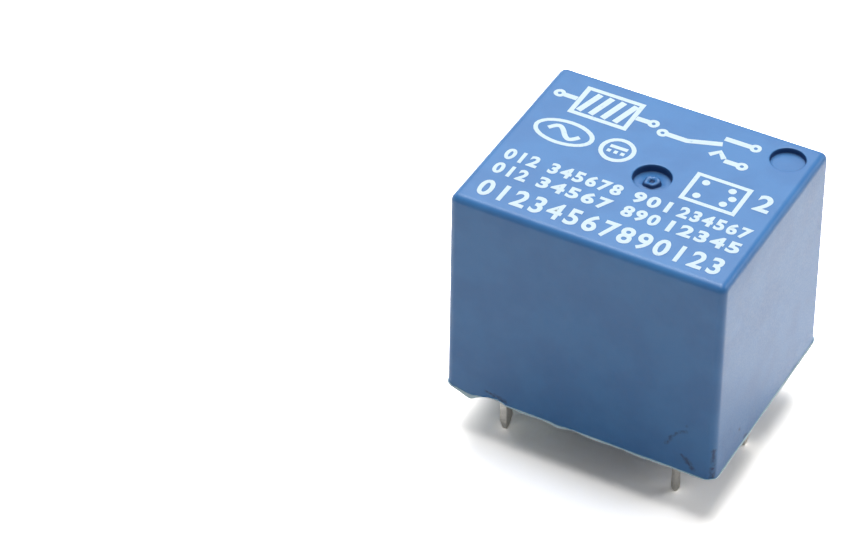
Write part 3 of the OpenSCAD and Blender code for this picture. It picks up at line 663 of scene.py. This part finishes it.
def wound_coil():
    """Winding of enamelled wire in close even turns, a little fuller in the middle.

    Each turn is a closed ring. Their number is chosen so that they show, and isn't counted.
    """
    low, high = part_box("winding")
    axis = Vector(((low.x + high.x) / 2, 0, low.z))
    half = (high.z - low.z) / TURNS / 2
    outer = high.x - axis.x - 0.06 * MM - half
    bm = bmesh.new()
    first = bm.verts.new(axis + Vector((outer, 0, 0)))
    bmesh.ops.spin(bm, geom=[first], cent=axis + Vector((outer, 0, half)), axis=(0, -1, 0),
                   angle=math.pi, steps=6)
    one_turn = bm.verts[:] + bm.edges[:]
    for count in range(1, TURNS):
        out = bmesh.ops.duplicate(bm, geom=one_turn)["geom"]
        bmesh.ops.translate(bm, vec=(0, 0, 2 * half * count), verts=verts_of(out))
    bmesh.ops.remove_doubles(bm, verts=bm.verts, dist=WELD)
    for v in bm.verts:
        share = 2 * (v.co.z - low.z) / (high.z - low.z) - 1
        v.co.x += COIL_SWELL * (1 - share * share)
    ends = [v for v in bm.verts if len(v.link_edges) == 1]
    bore = bmesh.ops.extrude_vert_indiv(bm, verts=ends)["verts"]
    for v in bore:
        v.co.x = axis.x + COIL_BORE
    bmesh.ops.contextual_create(bm, geom=bore)
    bmesh.ops.spin(bm, geom=bm.verts[:] + bm.edges[:], cent=axis, axis=UP,
                   angle=2 * math.pi, steps=72, use_merge=True)
    bmesh.ops.recalc_face_normals(bm, faces=bm.faces)
    piece = make_piece(bm, "wound_coil", copper, sharp_deg=60)
    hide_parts("winding")


def spring_blade():
    """The contact spring, cut across in bands where it bends over the heel as the armature closes.
    """
    bm = bmesh.new()
    bm.from_mesh(frame["nodes"]["common_blade"].data)
    bmesh.ops.remove_doubles(bm, verts=bm.verts, dist=WELD)
    hinge = Vector(frame["record"]["behaviour"]["joints"][0]["pos_m"])
    for offset in (-1.5, -1.0, -0.5, 0.0, 0.3):
        bmesh.ops.bisect_plane(bm, geom=bm.verts[:] + bm.edges[:] + bm.faces[:],
                               plane_co=hinge + Vector((offset, 0, 0)) * MM, plane_no=(1, 0, 0))
    piece = make_piece(bm, "spring_blade", bronze, body=None, sharp_deg=32)
    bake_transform(piece)
    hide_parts("common_blade")


def green_dab():
    """Cured blob of sealant: flat where it settled, with a wrinkled skin and a thin edge."""
    low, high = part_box("sealant_dab")
    middle = (low + high) / 2
    bm = bmesh.new()
    bmesh.ops.create_icosphere(bm, subdivisions=5, radius=1)
    for v in bm.verts:
        way = v.co.copy()
        turn = math.atan2(way.y, way.x)
        edge = 0.88 + 0.06 * math.sin(2 * turn + 1) + 0.03 * math.sin(5 * turn)
        edge += 0.2 * math.exp(-((turn - 2.2) / 0.16) ** 2)
        v.co.x = way.x * edge
        v.co.y = way.y * edge
        depth = max(0.0, -way.z) ** 0.75
        skin = noise.fractal(Vector((way.x * 3.2, way.y * 2.2 + 0.4 * way.x, 4.0)), 0.6, 2.0, 4)
        fold = math.exp(-((way.y - 0.25 * math.sin(2.6 * way.x) - 0.12) / 0.09) ** 2)
        v.co.z = -depth * (0.62 + 0.14 * skin - 0.3 * fold) if way.z < 0 else 0.0
    deepest = min(v.co.z for v in bm.verts)
    size = high - low
    for v in bm.verts:
        v.co = Vector((middle.x + v.co.x * size.x / 2, middle.y + v.co.y * size.y / 2,
                       high.z - (v.co.z / deepest) * size.z))
    bmesh.ops.recalc_face_normals(bm, faces=bm.faces)
    piece = make_piece(bm, "green_dab", sealant, sharp_deg=80)
    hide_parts("sealant_dab")


blue_case()
top_print()
base_marks()
wound_coil()
spring_blade()
green_dab()
rounded("base", base_black, 0.08)
rounded("bobbin", bobbin_black, 0.1)
rounded("core", plated, 0.08)
rounded("yoke", plated, 0.1, segments=3)
rounded("armature", plated, 0.08, "swinging_armature")
rounded("armature_rivets", rivets, 0.08, "swinging_armature")
rounded("yoke_rivets", rivets, 0.06)
rounded("moving_contact", silver, 0.05, "swinging_armature")
for contact in ("closed_contact", "open_contact"):
    rounded(contact, silver, 0.05)
for strip in ("common_terminal", "closed_terminal", "open_terminal"):
    rounded(strip, tinned, 0.06)
for pin in ("coil_terminal_a", "coil_terminal_b"):
    rounded(pin, tinned, 0.05)


# ---------------------------------------------------------------- floor, light and camera

FLOOR_HALF = 2.0
# How far the floor looks for what stands over it, for the painted shadow that the eye and
# reflections see
NEAR_REACH = 0.012
WIDE_REACH = 0.03
# The floor's painted shadow looks for open sky round this direction, so that its dark lies
# before the case and to the left of it. It isn't the direction of the lamps' light.
OPEN_SKY = Vector((0.42, 0.30, 0.86))
# Name, place, diameter and watts of each soft round lamp. All point at LAMP_AIM, in the case.
LAMPS = (
    ("above", (0.0, 0.02, 0.45), 0.25, 0.76),
    ("behind", (-0.06, 0.20, 0.42), 0.20, 0.43),
    ("behind_left", (-0.14, 0.20, 0.40), 0.30, 0.78),
    ("low_left", (-0.17, 0.30, 0.29), 0.30, 0.10),
    ("left", (-0.40, 0.10, 0.25), 0.30, 0.10),
    ("front", (-0.12, -0.40, 0.20), 0.30, 0.05),
    ("right", (0.30, 0.28, 0.22), 0.20, 0.31))
LAMP_AIM = Vector((0, 0, 0.008))
# The strength of the world as light. The camera and reflections see it at 1.
WORLD_LIGHT = 0.112


def plain_floor():
    """A matt pale floor, shown up to about five times brighter than the light it gives back.

    Only the camera and reflections see it so, and less where the case hides the sky: this is a
    painted shadow round the case, over the shadow that the lamps cast.
    """
    bm = bmesh.new()
    bmesh.ops.create_grid(bm, x_segments=1, y_segments=1, size=FLOOR_HALF)
    mesh = bpy.data.meshes.new("floor")
    bm.to_mesh(mesh)
    bm.free()
    floor = bpy.data.objects.new("floor", mesh)
    scene.collection.objects.link(floor)
    pale = bpy.data.materials.new("pale_floor")
    pale.use_nodes = True
    tree = pale.node_tree
    tree.nodes.clear()
    path = put(tree, "LightPath").outputs
    matt = put(tree, "BsdfDiffuse", {"Color": colour("CDCBC8")}).outputs[0]
    sky = put(tree, "Normal").outputs[0]
    sky.default_value = OPEN_SKY.normalized()
    near, wide = (put(tree, "AmbientOcclusion", {"Distance": reach, "Normal": sky},
                      samples=6).outputs["AO"] for reach in (NEAR_REACH, WIDE_REACH))
    near = ramp(tree, near, 0.08, 0.44, 0.0, 0.92)
    wide = ramp(tree, wide, 0.45, 1.0, 0.05, 0.68)
    # Painted shadow: near the case the floor's extra brightness is cut, for the eye and in
    # reflections
    seen = put(tree, "Math", {0: path["Is Camera Ray"], 1: near}, operation="MULTIPLY").outputs[0]
    mirrored = put(tree, "Math", {0: path["Is Glossy Ray"], 1: wide},
                   operation="MULTIPLY").outputs[0]
    share = put(tree, "Math", {0: seen, 1: mirrored}, operation="MAXIMUM").outputs[0]
    twice = put(tree, "AddShader", {0: matt, 1: matt}).outputs[0]
    fourfold = put(tree, "AddShader", {0: twice, 1: twice}).outputs[0]
    extra = put(tree, "MixShader", {0: share, 2: fourfold}).outputs[0]
    lit = put(tree, "AddShader", {0: matt, 1: extra}).outputs[0]
    # Clear from below, so that the underside can be looked at
    back = put(tree, "NewGeometry").outputs["Backfacing"]
    clear = put(tree, "BsdfTransparent").outputs[0]
    sided = put(tree, "MixShader", {0: back, 1: lit, 2: clear}).outputs[0]
    put(tree, "OutputMaterial", {"Surface": sided})
    mesh.materials.append(pale)


def studio():
    """A weak even light from all round, which the camera sees as white, and seven soft lamps."""
    world = bpy.data.worlds.new("studio")
    scene.world = world
    world.use_nodes = True
    tree = world.node_tree
    tree.nodes.clear()
    path = put(tree, "LightPath").outputs
    seen = put(tree, "Math", {0: path["Is Camera Ray"], 1: path["Is Glossy Ray"]},
               operation="MAXIMUM").outputs[0]
    strength = put(tree, "MapRange", {"Value": seen, "To Min": WORLD_LIGHT,
                                      "To Max": 1.0}).outputs[0]
    backdrop = put(tree, "Background", {"Color": (1, 1, 1, 1), "Strength": strength})
    put(tree, "OutputWorld", {"Surface": backdrop.outputs[0]})
    for name, place, size, watts in LAMPS:
        lamp = bpy.data.lights.new(name, "AREA")
        lamp.shape = "DISK"
        lamp.size = size
        lamp.energy = watts
        holder = bpy.data.objects.new(name, lamp)
        holder.location = place
        holder.rotation_euler = (LAMP_AIM - Vector(place)).to_track_quat("-Z", "Y").to_euler()
        scene.collection.objects.link(holder)


# The camera stands in front, to the right and above, and looks down at about 40 degrees
CAMERA_PLACE = Vector((69.59, -151.32, 152.47)) * MM
CAMERA_WAY = Vector((-0.3721, 0.6647, -0.6479)).normalized()
CAMERA_UP = Vector((-0.3125, 0.5676, 0.7617))
CAMERA_LENS = 144.65


def camera_view():
    """A long lens from CAMERA_PLACE along CAMERA_WAY."""
    camera = bpy.data.objects.new("camera", bpy.data.cameras.new("camera"))
    camera.data.lens = CAMERA_LENS
    camera.data.clip_start = 0.01
    camera.data.clip_end = 20
    right = CAMERA_WAY.cross(CAMERA_UP).normalized()
    turn = Matrix((right, right.cross(CAMERA_WAY), -CAMERA_WAY)).transposed()
    camera.matrix_world = Matrix.Translation(CAMERA_PLACE) @ turn.to_4x4()
    scene.collection.objects.link(camera)
    scene.camera = camera


plain_floor()
studio()
camera_view()
scene.view_settings.view_transform = "Standard"
